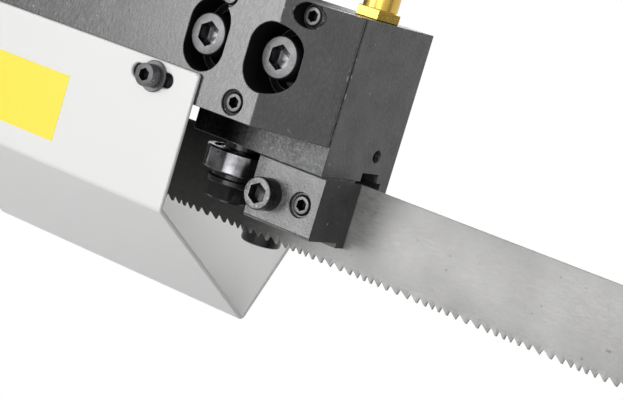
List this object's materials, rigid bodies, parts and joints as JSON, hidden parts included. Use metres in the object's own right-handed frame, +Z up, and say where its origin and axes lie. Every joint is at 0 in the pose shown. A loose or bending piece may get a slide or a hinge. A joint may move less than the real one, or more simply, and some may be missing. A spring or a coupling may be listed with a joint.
{
  "type": "metal cutting band saw",
  "caption": "Bench band saw for metal: hinged bow with band wheels, a toothed blade held by guide heads with rollers and pads, a folded blade guard and a screw vise.",
  "frame": {"origin": "centre of the four anchor bolt holes, on the bed's underside", "axes": "+X along the bed from the idler side to the driven side, +Y from the operator to the back, +Z up"},
  "size_m": [1.1244, 0.637, 0.7574],
  "materials": {
    "casting_paint": "satin paint over cast iron",
    "bed_paint": "satin paint over cast iron",
    "sheet_paint": "light grey powder coat",
    "machine_paint": "dark grey paint",
    "gearbox_paint": "painted aluminium casting",
    "black_steel": "black oxide, ground edges",
    "ground_steel": "ground and lightly oiled",
    "bright_steel": "turned",
    "blade_steel": "rolled strip, brushed along its length",
    "bearing_chrome": "polished bearing steel",
    "screw_black": "black oxide",
    "carbide": "sintered, matte",
    "brass": "machined",
    "black_plastic": "moulded",
    "box_plastic": "moulded",
    "red_plastic": "moulded",
    "green_plastic": "moulded"
  },
  "bodies": {
    "base": {"bed": "bed_paint", "vise_table": "bed_paint", "front_rest": "bed_paint", "fixed_jaw": "casting_paint", "pivot_bracket": "bed_paint", "pivot_shaft": "bright_steel", "dashpot": "bright_steel", "control_box": "box_plastic", "stop_rod": "bright_steel"},
    "bow": {"bow_casting": "casting_paint", "tension_rails": "black_steel", "wheel_cover": "sheet_paint", "cover_screws": "screw_black", "pivot_arm": "casting_paint", "blade": "blade_steel", "gearbox": "gearbox_paint", "motor": "machine_paint", "motor_cowl": "machine_paint", "terminal_box": "machine_paint", "arm_bracket": "casting_paint", "right_bracket": "casting_paint", "tension_bracket": "casting_paint", "bow_handle": "black_plastic", "right_arm": "ground_steel", "right_block": "black_steel", "right_jaw": "ground_steel", "right_pads": "carbide", "right_screws": "screw_black", "right_roller_bolts": "screw_black", "right_fitting": "brass"},
    "guide": {"guide_arm": "ground_steel", "guide_block": "black_steel", "front_jaw": "ground_steel", "carbide_pads": "carbide", "arm_screws": "screw_black", "set_screws": "screw_black", "jaw_screws": "screw_black", "roller_bolts": "screw_black", "blade_guard": "sheet_paint", "guard_screw": "screw_black", "coolant_fitting": "brass"},
    "roller_front": {"roller_front": "bearing_chrome"},
    "roller_rear": {"roller_rear": "bearing_chrome"},
    "right_roller_front": {"right_roller_front": "bearing_chrome"},
    "right_roller_rear": {"right_roller_rear": "bearing_chrome"},
    "drive_wheel": {"drive_wheel": "bright_steel"},
    "carriage": {"tension_carriage": "black_steel"},
    "idler_wheel": {"idler_wheel": "bright_steel"},
    "tension": {"tension_screw": "bright_steel", "tension_handle": "black_plastic"},
    "clamp": {"clamp_lever": "black_plastic"},
    "vise_jaw": {"vise_jaw": "casting_paint"},
    "vise_screw": {"vise_screw": "bright_steel", "vise_handwheel": "black_plastic"},
    "dash_rod": {"dash_rod": "bright_steel"},
    "flow_knob": {"flow_knob": "black_plastic"},
    "length_stop": {"stop_arm": "bright_steel"},
    "start_button": {"start_button": "green_plastic"},
    "stop_button": {"stop_button": "red_plastic"}
  },
  "joints": [
    {"name": "bow_pivot", "type": "hinge", "parent": "base", "child": "bow", "pos_m": [0.375, -0.03, 0.107], "axis": [0, 1, 0], "range_deg": [-20, 30]},
    {"name": "drive_spin", "type": "hinge", "parent": "bow", "child": "drive_wheel", "pos_m": [0.3302, 0.04272, 0.31429], "axis": [0.171, -0.866, 0.4698], "continuous": true},
    {"name": "tension_slide", "type": "slide", "parent": "bow", "child": "carriage", "axis": [0.9397, 0, -0.342], "range_m": [0, 0.012]},
    {"name": "idler_spin", "type": "hinge", "parent": "carriage", "child": "idler_wheel", "pos_m": [-0.40652, 0.04272, 0.58243], "axis": [0.171, -0.866, 0.4698], "continuous": true},
    {"name": "tension_turn", "type": "hinge", "parent": "bow", "child": "tension", "pos_m": [-0.59326, -0.00144, 0.67753], "axis": [0.9397, 0, -0.342], "range_deg": [0, 1441]},
    {"name": "guide_slide", "type": "slide", "parent": "bow", "child": "guide", "axis": [0.9397, 0, -0.342], "range_m": [0, 0.1]},
    {"name": "clamp_turn", "type": "hinge", "parent": "bow", "child": "clamp", "pos_m": [-0.3956, -0.1, 0.48964], "axis": [0, 1, 0], "range_deg": [0, 75]},
    {"name": "roller_front_spin", "type": "hinge", "parent": "guide", "child": "roller_front", "pos_m": [-0.24596, -0.04175, 0.39846], "axis": [0.342, 0, 0.9397], "continuous": true},
    {"name": "roller_rear_spin", "type": "hinge", "parent": "guide", "child": "roller_rear", "pos_m": [-0.24596, -0.01825, 0.39846], "axis": [0.342, 0, 0.9397], "continuous": true},
    {"name": "right_roller_front_spin", "type": "hinge", "parent": "bow", "child": "right_roller_front", "pos_m": [0.07015, -0.04175, 0.2834], "axis": [0.342, 0, 0.9397], "continuous": true},
    {"name": "right_roller_rear_spin", "type": "hinge", "parent": "bow", "child": "right_roller_rear", "pos_m": [0.07015, -0.01825, 0.2834], "axis": [0.342, 0, 0.9397], "continuous": true},
    {"name": "vise_turn", "type": "hinge", "parent": "base", "child": "vise_screw", "pos_m": [-0.43, 0.098, 0.105], "axis": [1, 0, 0], "range_deg": [-1801, 11401]},
    {"name": "vise_slide", "type": "slide", "parent": "base", "child": "vise_jaw", "axis": [1, 0, 0], "range_m": [-0.03, 0.19]},
    {"name": "flow_turn", "type": "hinge", "parent": "base", "child": "flow_knob", "pos_m": [0.305, -0.08, 0.076], "axis": [0, -1, 0], "range_deg": [0, 270]},
    {"name": "dash_slide", "type": "slide", "parent": "base", "child": "dash_rod", "axis": [0, 0, 1], "range_m": [-0.0266, 0.0399]},
    {"name": "stop_slide", "type": "slide", "parent": "base", "child": "length_stop", "axis": [0, 1, 0], "range_m": [-0.06, 0.1]},
    {"name": "start_press", "type": "slide", "parent": "base", "child": "start_button", "axis": [0, 1, 0], "range_m": [0, 0.004], "stiffness_N_per_m": 600, "springref_m": -0.003},
    {"name": "stop_press", "type": "slide", "parent": "base", "child": "stop_button", "axis": [0, 1, 0], "range_m": [0, 0.005], "stiffness_N_per_m": 600, "springref_m": -0.003}
  ],
  "couplings": [
    {"joint": "idler_spin", "follows": "drive_spin", "ratio": 1},
    {"joint": "roller_front_spin", "follows": "drive_spin", "ratio": -13.223},
    {"joint": "roller_rear_spin", "follows": "drive_spin", "ratio": 13.223},
    {"joint": "right_roller_front_spin", "follows": "drive_spin", "ratio": -13.223},
    {"joint": "right_roller_rear_spin", "follows": "drive_spin", "ratio": 13.223},
    {"joint": "tension_turn", "follows": "tension_slide", "rad_per_m": 2094.4},
    {"joint": "vise_turn", "follows": "vise_slide", "rad_per_m": 1047.2},
    {"joint": "dash_slide", "follows": "bow_pivot", "m_per_rad": 0.07594}
  ]
}
